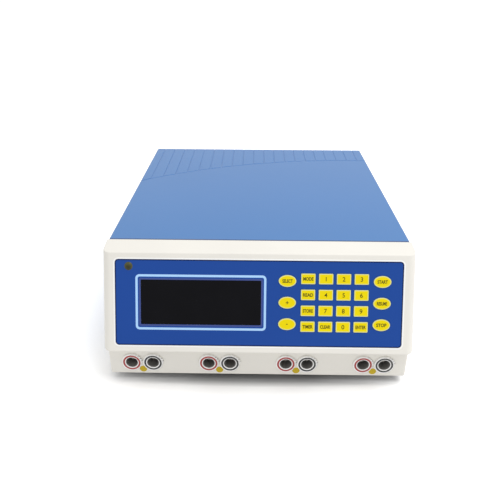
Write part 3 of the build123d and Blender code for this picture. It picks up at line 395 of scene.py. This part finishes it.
# Circuit boards. Glass-fibre board under green solder mask: the large one on the floor's
# bosses carries the power parts, the long one behind the face carries display and keys.
def solder_mask():
    """Green lacquer over copper tracks that run in two directions."""
    track, drawn_out = 1.6 * mm, 0.05
    finish = Finish("solder_mask", 0.3, coat=0.3)
    along = finish.noise(track, 0.0, (drawn_out, 1, 1))
    across = finish.noise(track, 0.0, (1, drawn_out, 1))
    tracks = (along > 0.56) * 0.6 + (across > 0.6) * 0.4
    finish.feed(
        Base_Color=finish.blend(tracks, (0.012, 0.11, 0.045, 1), (0.03, 0.22, 0.08, 1)),
        Normal=finish.relief(tracks, 0.03 * mm),
    )
    return finish.material


board_green = solder_mask()
for node in ("power_board", "front_board"):
    dress(node, node + "_masked", board_green, 0.15 * mm)

# Parts of the power board. Screw terminals for the eight outputs, sleeved filter capacitors,
# and power transistors clamped to their finned sinks.
terminal_green = moulding("terminal_green", (0.03, 0.27, 0.10, 1), 0.45, grain=0.3 * mm)
dress("terminal_blocks", "terminals", terminal_green, 0.25 * mm)


def capacitor_sleeve():
    """Dark shrink sleeve with one pale stripe down each can."""
    stripe_from = 0.93
    finish = Finish("capacitor_sleeve", 0.28)
    low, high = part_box("filter_capacitors")
    radius = (high.y - low.y) / 2
    far_side = finish.axis(1) > (low.y + high.y) / 2 + radius * stripe_from
    finish.feed(
        Base_Color=finish.blend(far_side, (0.015, 0.018, 0.05, 1), (0.6, 0.6, 0.62, 1)),
        Normal=finish.relief(finish.noise(1.5 * mm), 0.02 * mm),
    )
    return finish.material


dress("filter_capacitors", "capacitors", capacitor_sleeve(), 0)

black_plastic = moulding("black_plastic", (0.018, 0.018, 0.02, 1), 0.38, grain=0.35 * mm)
dress("power_transistors", "transistors", black_plastic, 0.2 * mm)

drawn = (1, 0.03, 1)
aluminium = plating("sink_aluminium", (0.66, 0.66, 0.67, 1), 0.36, (0.6, 0.6, 0.61, 1), drawn)
dress("heatsinks", "finned_sinks", aluminium, 0.2 * mm)


# Mains transformer. Varnished laminations with the coil wound through them under amber
# insulating tape, bolted down to the floor's bosses.
def laminations():
    """Edges of stacked steel sheets under brown varnish."""
    finish = Finish("laminations", 0.45, metallic=0.7)
    sheets = finish.noise(0.5 * mm, 0.0, (0.01, 0.01, 1))
    finish.feed(
        Base_Color=finish.blend(sheets, (0.05, 0.045, 0.04, 1), (0.16, 0.15, 0.14, 1)),
        Normal=finish.relief(sheets, 0.1 * mm),
    )
    return finish.material


def winding_tape():
    """Amber tape, its laps showing as steps across the coil."""
    finish = Finish("winding_tape", 0.35, coat=0.2)
    laps = finish.noise(5 * mm, 0.0, (0.05, 1, 0.05))
    finish.feed(
        Base_Color=finish.blend(laps, (0.5, 0.28, 0.04, 1), (0.66, 0.42, 0.08, 1)),
        Normal=finish.relief(laps > 0.5, 0.06 * mm),
    )
    return finish.material


dress("transformer_core", "core", laminations(), 0.2 * mm)
dress("transformer_coil", "coil", winding_tape(), 0.8 * mm)
dress("transformer_bolts", "core_bolts", zinc, 0.25 * mm)

# Cables inside. Red insulated wires to the outputs and from the mains switch, and a grey
# ribbon whose cores show as fine ridges, from the front board to the power board.
wire_red = moulding("wire_red", (0.42, 0.02, 0.02, 1), 0.4, grain=0.8 * mm)
for node in ("output_wires", "mains_wires"):
    dress(node, node + "_red", wire_red, 0)


def ribbon_grey():
    """Grey ribbon, one ridge for each core."""
    finish = Finish("ribbon_grey", 0.45)
    cores = finish.tone("ShaderNodeTexWave", {"bands_direction": "X"}, {
        "Vector": finish.place, "Scale": 250.0,
    })
    finish.feed(
        Base_Color=finish.blend(cores, (0.34, 0.34, 0.35, 1), (0.5, 0.5, 0.52, 1)),
        Normal=finish.relief(cores, 0.2 * mm),
    )
    return finish.material


dress("ribbon_cable", "ribbon", ribbon_grey(), 0.1 * mm)


# Rear panel. Sheet steel with a pale powder coat whose fine orange peel catches the light,
# cut for the fan, the mains inlet and the switch, and held in the rims of both shells.
def powder_coat():
    """Powder coat: a shallow orange peel all over."""
    finish = Finish("powder_coat", 0.42)
    peel = finish.noise(0.9 * mm)
    clouds = finish.noise(80 * mm)
    finish.feed(
        Base_Color=finish.blend(clouds, (0.74, 0.72, 0.67, 1), (0.79, 0.77, 0.72, 1)),
        Normal=finish.relief(peel, 0.04 * mm),
    )
    return finish.material


dress("rear_panel", "rear_plate", powder_coat(), 0.25 * mm)

# Mains inlet. A black three-pole moulding held by two screws, nickel-plated flat pins in its
# well, and a fuse drawer below them that slides out with its pair of glass fuses.
dress("mains_inlet", "inlet_moulding", black_plastic, 0.3 * mm)
nickel = plating("nickel", (0.72, 0.70, 0.66, 1), 0.22, (0.66, 0.62, 0.55, 1))
dress("inlet_pins", "pins", nickel, 0.15 * mm)
dress("fuse_drawer", "drawer", black_plastic, 0.25 * mm)


def fuse_glass():
    """Pale glass between two plated caps."""
    cap = 5 * mm
    finish = Finish("fuse_glass", 0.15)
    low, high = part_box("fuses")
    depth = finish.axis(1)
    capped = (depth < low.y + cap) + (depth > high.y - cap)
    finish.feed(
        Base_Color=finish.blend(capped, (0.75, 0.78, 0.76, 1), (0.7, 0.69, 0.66, 1)),
        Metallic=capped,
    )
    return finish.material


dress("fuses", "glass_fuses", fuse_glass(), 0.3 * mm)


# Mains switch. A black frame snapped into the rear panel, and a glossy red rocker that swings
# on two short pins, marked with a bar for on and a ring for off.
print_thick = 0.06 * mm


def lettering(text, name, height, widest, weight, material):
    """A short legend as a thin solid, its strokes made heavier by a weight, in the origin."""
    size_over_height = 1.4
    bpy.ops.object.select_all(action="DESELECT")
    bpy.ops.object.text_add(location=(0, 0, 0))
    piece = bpy.context.object
    piece.name = name
    piece.data.body = text
    piece.data.size = height * size_over_height
    piece.data.offset = weight
    piece.data.extrude = print_thick / 2
    piece.data.resolution_u = 4
    piece.data.align_x = "CENTER"
    bpy.ops.object.convert(target="MESH")
    corners = [v.co for v in piece.data.vertices]
    low = Vector([min(c[k] for c in corners) for k in range(3)])
    high = Vector([max(c[k] for c in corners) for k in range(3)])
    squeeze = min(1, widest / (high.x - low.x))
    piece.data.transform(Matrix.Translation(-(low + high) / 2))
    piece.data.transform(Matrix.Diagonal((squeeze, 1, 1, 1)))
    piece.data.transform(Matrix.Translation((0, 0, print_thick / 2)))
    bpy.ops.object.mode_set(mode="EDIT")
    bpy.ops.mesh.select_all(action="SELECT")
    bpy.ops.mesh.remove_doubles(threshold=weld)
    bpy.ops.mesh.normals_make_consistent(inside=False)
    bpy.ops.object.mode_set(mode="OBJECT")
    piece.data.materials.clear()
    piece.data.materials.append(material)
    return piece


def facing(place, across, upward):
    """The place and turn of a thing that looks out of a surface, by its own two directions."""
    turn = Matrix((across, upward, across.cross(upward))).transposed().to_4x4()
    return Matrix.Translation(place) @ turn


def put_on(mark, place, body):
    """Moves a finished mark, leaves its object at the origin, and gives it a body."""
    pick(mark)
    mark.matrix_world = place
    bpy.ops.object.transform_apply(location=True, rotation=True, scale=True)
    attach(mark, body)


dress("switch_housing", "switch_frame", black_plastic, 0.3 * mm)
rocker_red = moulding(
    "rocker_red", (0.5, 0.015, 0.012, 1), 0.2, grain=0.9 * mm, depth=0.006 * mm, coat=0.4,
)
white_print = moulding("white_print", (0.8, 0.8, 0.8, 1), 0.5, grain=0.3 * mm)
dress("power_rocker", "rocker", rocker_red, 0.35 * mm, segments=3)
mark_height, mark_widest, thin_weight = 3.6 * mm, 6 * mm, 0.05 * mm
rocker_body = frame["nodes"]["power_rocker"]["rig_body"]
rocker_marks = [
    ("I", "rocker_bar", Vector((-40, 178.96, 67.75)) * mm, radians(16)),
    ("O", "rocker_ring", Vector((-40, 177.22, 55.4)) * mm, 0),
]
for letter, name, place, lean in rocker_marks:
    mark = lettering(letter, name, mark_height, mark_widest, thin_weight, white_print)
    upward = Vector((0, sin(lean), cos(lean)))
    put_on(mark, facing(place, Vector((-1, 0, 0)), upward), rocker_body)

# Fan. A black moulded frame with four struts, a rotor of seven pitched blades on its shaft,
# and a chromed wire guard held outside the panel by the same four screws.
fan_plastic = moulding("fan_plastic", (0.022, 0.022, 0.024, 1), 0.33, grain=0.5 * mm)
dress("fan_frame", "fan_body", fan_plastic, 0.3 * mm)
dress("fan_rotor", "rotor", fan_plastic, 0.3 * mm)
chrome = plating("chrome", (0.75, 0.76, 0.77, 1), 0.14, (0.68, 0.68, 0.68, 1))
dress("fan_guard", "guard", chrome, 0)

# Front bezel. One cream moulding: the leaning face, the set-back wall of the sockets under
# its lip, and the shallow seat of the overlay, round whose edge a white bead paints a highlight.
dress("front_bezel", "bezel", cream_plastic, 0.3 * mm)


# Overlay. A printed plastic film laid in the bezel's seat: even blue under a velvet finish,
# with a pale outline around the display and bare bands above and below it.
def print_film(name, colour, roughness=0.38):
    """Film printed on its back: even colour under a very fine velvet texture."""
    swing = 0.06
    finish = Finish(name, roughness, specular=0.1)
    velvet = finish.noise(0.25 * mm, 1.0)
    clouds = finish.noise(90 * mm)
    finish.feed(
        Base_Color=finish.blend(clouds, shade(colour, 1 - swing), shade(colour, 1 + swing)),
        Roughness=finish.uneven(velvet, 0.04),
        Normal=finish.relief(velvet, 0.006 * mm),
    )
    return finish.material


overlay_blue = print_film("overlay_blue", (0.0155, 0.069, 0.325, 1))
dress("panel_overlay", "overlay", overlay_blue, 0.12 * mm)

# the leaning face's own directions, from the middle of its foot: across, up it, and out of it
face_lean = radians(22.3)
face_across = Vector((1, 0, 0))
face_up = Vector((0, sin(face_lean), cos(face_lean)))
face_out = Vector((0, -cos(face_lean), sin(face_lean)))
face_foot = Vector((0, -182.589, 43.9)) * mm
film_top = -0.3 * mm


def on_face(x, v, w):
    """The place and turn of a thing on the leaning face: across, up it, and out of it."""
    place = face_foot + x * face_across + v * face_up + w * face_out
    return facing(place, face_across, face_up)


def printed_frame(name, width, height, corner, stroke, material, thick=print_thick):
    """An outline: a rectangle with round corners, measured along the middle of its stroke."""
    bpy.ops.object.select_all(action="DESELECT")
    bpy.ops.mesh.primitive_plane_add(size=1, location=(0, 0, 0))
    piece = bpy.context.object
    piece.name = name
    piece.scale = (width + stroke, height + stroke, 1)
    bpy.ops.object.transform_apply(scale=True)
    bpy.ops.object.mode_set(mode="EDIT")
    bpy.ops.mesh.select_all(action="SELECT")
    bpy.ops.mesh.bevel(offset=corner, segments=8, affect="VERTICES")
    bpy.ops.mesh.select_all(action="SELECT")
    bpy.ops.mesh.inset(thickness=stroke, depth=0)
    bpy.ops.mesh.delete(type="FACE")
    bpy.ops.mesh.select_all(action="SELECT")
    bpy.ops.mesh.extrude_region_move(TRANSFORM_OT_translate={"value": (0, 0, thick)})
    bpy.ops.mesh.select_all(action="SELECT")
    bpy.ops.mesh.normals_make_consistent(inside=False)
    bpy.ops.object.mode_set(mode="OBJECT")
    piece.data.materials.append(material)
    return piece


pale_print = print_film("pale_blue_print", (0.43, 0.68, 1.0, 1), 0.45)
outline_left, outline_right = -117.95 * mm, 6.1 * mm
outline_low, outline_high = 23.99 * mm, 75.9 * mm
outline_x, outline_v = (outline_left + outline_right) / 2, (outline_low + outline_high) / 2
outline = printed_frame(
    "display_outline", outline_right - outline_left, outline_high - outline_low,
    3.9 * mm, 2.2 * mm, pale_print,
)
put_on(outline, on_face(outline_x, outline_v, film_top), "case")

# a white bead runs round the seat as a painted highlight, and the film's edge has a dark line of
# painted shade
film_width, film_height, film_mid = 277.6 * mm, 84.016 * mm, 49.508 * mm
bead_width, edge_width, seat_gap = 1.3 * mm, 0.9 * mm, 0.2 * mm
# painted highlight: the white bead stands for light caught on the seat's edge
highlight_bead_white = moulding("highlight_bead_white", (0.96, 0.96, 0.95, 1), 0.35)
highlight_bead = printed_frame(
    "seat_highlight_bead", film_width + bead_width + 2 * seat_gap, film_height + bead_width + 2 * seat_gap,
    4.9 * mm, bead_width, highlight_bead_white, 0.1 * mm,
)
put_on(highlight_bead, on_face(0, film_mid, 0), "case")
# painted shade: a dark navy line along the film's edge stands for the shadow of the seat's step
edge_shade_navy = print_film("edge_shade_navy", (0.008, 0.022, 0.10, 1))
film_edge_shade = printed_frame(
    "film_edge_shade", film_width - edge_width - seat_gap, film_height - edge_width - seat_gap,
    3.4 * mm, edge_width, edge_shade_navy,
)
put_on(film_edge_shade, on_face(0, film_mid, film_top), "case")

# Display. A smoked window let into the face from behind, with the glass of the display on
# the board behind it; a narrow line of duller blue is printed where film and window meet.
window_black = Finish("window_black", 0.16, specular=0.08)
haze = window_black.noise(25 * mm)
window_black.feed(
    Base_Color=window_black.blend(haze, (0.002, 0.002, 0.003, 1), (0.004, 0.004, 0.006, 1)),
    Roughness=window_black.uneven(haze, 0.03),
)
dress("display_window", "window", window_black.material, 0.2 * mm)


def display_glass():
    """Dark display glass with the faint rows of its unlit characters."""
    finish = Finish("display_glass", 0.12)
    finish.feed(Base_Color=finish.tone("ShaderNodeTexBrick", {"offset": 0.0}, {
        "Vector": finish.place, "Scale": 90.0, "Mortar": (0.006, 0.009, 0.008, 1),
        "Color1": (0.010, 0.018, 0.014, 1), "Color2": (0.012, 0.022, 0.016, 1),
    }))
    return finish.material


dress("display_module", "display", display_glass(), 0.15 * mm)

edge_print = print_film("grey_edge_print", (0.065, 0.09, 0.28, 1), 0.5)
window_x, window_v = -55.9 * mm, 50.008 * mm
window_width, window_height = 116 * mm, 43.4 * mm
line_around, line_width = 1.9 * mm, 1.4 * mm
edge_line = printed_frame(
    "window_edge_line", window_width + line_around, window_height + line_around,
    1.6 * mm, line_width, edge_print,
)
put_on(edge_line, on_face(window_x, window_v, film_top), "case")


# Indicator lamp. A low domed lens of smoked olive plastic pressed through the film, dark
# while the supply is off.
def smoked_lens():
    """Coloured lens, darker towards its middle as light sinks into it."""
    lens_radius = 4 * mm
    finish = Finish("smoked_lens", 0.25, specular=0.2)
    low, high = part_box("indicator_lamp")
    across = finish.axis(0) - (low.x + high.x) / 2
    upward = finish.axis(2) - (low.z + high.z) / 2
    out = (across * across + upward * upward) * (1 / lens_radius ** 2)
    clear = finish.capped_sum(out, 0.3 * finish.noise(2.2 * mm))
    finish.feed(Base_Color=finish.blend(clear, (0.022, 0.024, 0.008, 1), (0.085, 0.085, 0.03, 1)))
    return finish.material


dress("indicator_lamp", "lamp", smoked_lens(), 0)

# Push switches behind the keys. Small black bodies soldered to the front board, each with a
# bore that takes its key's stem.
dress("key_switches", "switches", black_plastic, 0.15 * mm)

# Keys. Yellow caps pressed through the film, sixteen rectangular and six oval, with a pale
# printed border around each top and a small dark legend in its middle.
key_yellow = print_film("key_yellow", (0.87, 0.70, 0.003, 1), 0.42)
key_border = print_film("key_border", (0.74, 0.76, 0.34, 1), 0.45)
legend_ink = print_film("legend_ink", (0.07, 0.065, 0.01, 1), 0.5)
border = 0.55 * mm
key_lift, top_slack = 0.2 * mm, 0.05 * mm
squarely_out = 0.9999
digit_height, word_height = 4.3 * mm, 3.3 * mm
word_weight, word_widest = 0.13 * mm, 9.8 * mm
block_x, block_v = 73.1 * mm, 50.808 * mm
pitch_x, pitch_v = 17.1 * mm, 15.57 * mm
oval_x, oval_pitch = 45.6 * mm, 21.1 * mm
block = [
    ("mode", "MODE"), ("1", "1"), ("2", "2"), ("3", "3"),
    ("read", "READ"), ("4", "4"), ("5", "5"), ("6", "6"),
    ("store", "STORE"), ("7", "7"), ("8", "8"), ("9", "9"),
    ("timer", "TIMER"), ("clear", "CLEAR"), ("0", "0"), ("confirm", "ENTER"),
]
ovals = [
    ("select", "SELECT"), ("plus", "+"), ("minus", "-"),
    ("start", "START"), ("resume", "RESUME"), ("stop", "STOP"),
]
keys = []
for k, (key, legend) in enumerate(block):
    row, column = divmod(k, 4)
    place = (block_x + (column - 1.5) * pitch_x, block_v + (1.5 - row) * pitch_v)
    keys.append((key, legend, place))
for k, (key, legend) in enumerate(ovals):
    column, row = divmod(k, 3)
    place = (block_x + (2 * column - 1) * oval_x, block_v + (1 - row) * oval_pitch)
    keys.append((key, legend, place))

bpy.context.tool_settings.mesh_select_mode = (False, False, True)
for key, legend, (x, v) in keys:
    cap = skin("key_" + key, "cap_" + key, key_yellow, key_border)
    for face in cap.data.polygons:
        height = (face.center - face_foot).dot(face_out)
        on_top = height > key_lift - top_slack
        face.select = on_top and face.normal.dot(face_out) > squarely_out
    bpy.ops.object.mode_set(mode="EDIT")
    bpy.ops.mesh.inset(thickness=border, depth=0, use_even_offset=False)
    bpy.ops.object.mode_set(mode="OBJECT")
    for face in cap.data.polygons:
        face.material_index = 0 if face.select else 1
    soften(cap, 0)
    stand_for(cap, "key_" + key)
    tall, weight = (digit_height, thin_weight) if len(legend) == 1 else (word_height, word_weight)
    mark = lettering(legend, "legend_" + key, tall, word_widest, weight, legend_ink)
    put_on(mark, on_face(x, v, key_lift), "key_" + key)

# Output sockets. White insulating bodies whose deep wells are dark grey as painted shade, a red or
# black ring let into each flange, a plated sleeve inside, and a nut behind the wall that pulls the
# flange home.
socket_white = moulding("socket_white", (0.95, 0.945, 0.93, 1), 0.3, grain=0.6 * mm)
well_painted_shade = moulding("well_painted_shade", (0.22, 0.21, 0.20, 1), 0.5, grain=0.6 * mm)
socket_z = 23.6 * mm
well_reach = 6.018 * mm
dark_start, dark_end = -171.4 * mm, -146.5 * mm
sockets = skin("socket_bodies", "sockets", socket_white, well_painted_shade)
# painted shade: faces deep inside each well take the dark grey
for face in sockets.data.polygons:
    deep = dark_start < face.center.y < dark_end
    if deep and abs(face.center.z - socket_z) < well_reach:
        face.material_index = 1
soften(sockets, 0.25 * mm)
stand_for(sockets, "socket_bodies")

ring_colours = (
    ("red_rings", "ring_red", (0.37, 0.03, 0.027, 1)),
    ("black_rings", "ring_black", (0.02, 0.02, 0.022, 1)),
)
for node, slot, colour in ring_colours:
    dress(node, node + "_moulded", moulding(slot, colour, 0.35, grain=0.6 * mm), 0.15 * mm)

dress("socket_contacts", "contacts", nickel, 0.15 * mm)
dress("socket_nuts", "nuts", black_plastic, 0.3 * mm)

# Pair markers. A plain yellow dot stuck to the wall low between the two sockets of each
# pair, so that the pairs are told apart.
marker_yellow = print_film("marker_yellow", (0.58, 0.42, 0.03, 1), 0.4)
marker_radius, marker_thick = 3.7 * mm, 0.12 * mm
marker_edge, marker_rise = 0.15 * mm, 0.05 * mm
marker_z = 14.4 * mm
wall_y = -171 * mm
pair_pitch = 77.557 * mm
stood_up = Matrix.Rotation(radians(90), 4, "X")
for k in range(4):
    bpy.ops.object.select_all(action="DESELECT")
    bpy.ops.mesh.primitive_circle_add(
        vertices=40, radius=marker_radius, fill_type="NGON", location=(0, 0, 0),
    )
    dot = bpy.context.object
    dot.name = f"pair_marker_{k + 1}"
    bpy.ops.object.mode_set(mode="EDIT")
    bpy.ops.mesh.select_all(action="SELECT")
    bpy.ops.mesh.extrude_region_move(TRANSFORM_OT_translate={"value": (0, 0, marker_thick)})
    bpy.ops.mesh.inset(thickness=marker_edge, depth=marker_rise)
    bpy.ops.mesh.select_all(action="SELECT")
    bpy.ops.mesh.normals_make_consistent(inside=False)
    bpy.ops.object.mode_set(mode="OBJECT")
    dot.data.materials.append(marker_yellow)
    place = Matrix.Translation(((k - 1.5) * pair_pitch, wall_y, marker_z))
    put_on(dot, place @ stood_up, "case")


# Top cover. One blue moulding with a satin gloss that closes over everything, grooved behind
# a long curved line; its upper rims and its seam with the bezel carry painted shade in deeper
# blue.
def cover_blue():
    """Satin blue plastic with a fine grain, with painted shade in deeper blue at the seam and
    along its rims.
    """
    colour, shade_blue = (0.038, 0.178, 0.465, 1), (0.008, 0.03, 0.12, 1)
    rim, rim_depth = 1.4 * mm, 0.45
    seam, seam_depth = 1.2 * mm, 0.9
    swing = 0.03
    finish = Finish("cover_blue", 0.35, coat=0.15, coat_roughness=0.25)
    low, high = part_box("top_cover")
    clouds = finish.noise(120 * mm)
    grain = finish.noise(0.6 * mm)
    # painted shade: the upper side and back rims and a strip at the seam turn a deeper blue
    side_rims = (finish.axis(0) < low.x + rim) + (finish.axis(0) > high.x - rim)
    rims_painted_shade = (side_rims + (finish.axis(1) > high.y - rim)) * (finish.axis(2) > high.z - rim)
    seam_painted_shade = finish.axis(1) < low.y + seam
    painted_shade = rims_painted_shade * rim_depth + seam_painted_shade * seam_depth
    plain = finish.blend(clouds, shade(colour, 1 - swing), shade(colour, 1 + swing))
    finish.feed(
        Base_Color=finish.blend(painted_shade, plain, shade_blue),
        Roughness=finish.uneven(grain, 0.05),
        Normal=finish.relief(grain, 0.012 * mm),
    )
    return finish.material


dress("top_cover", "cover", cover_blue(), 0.3 * mm)
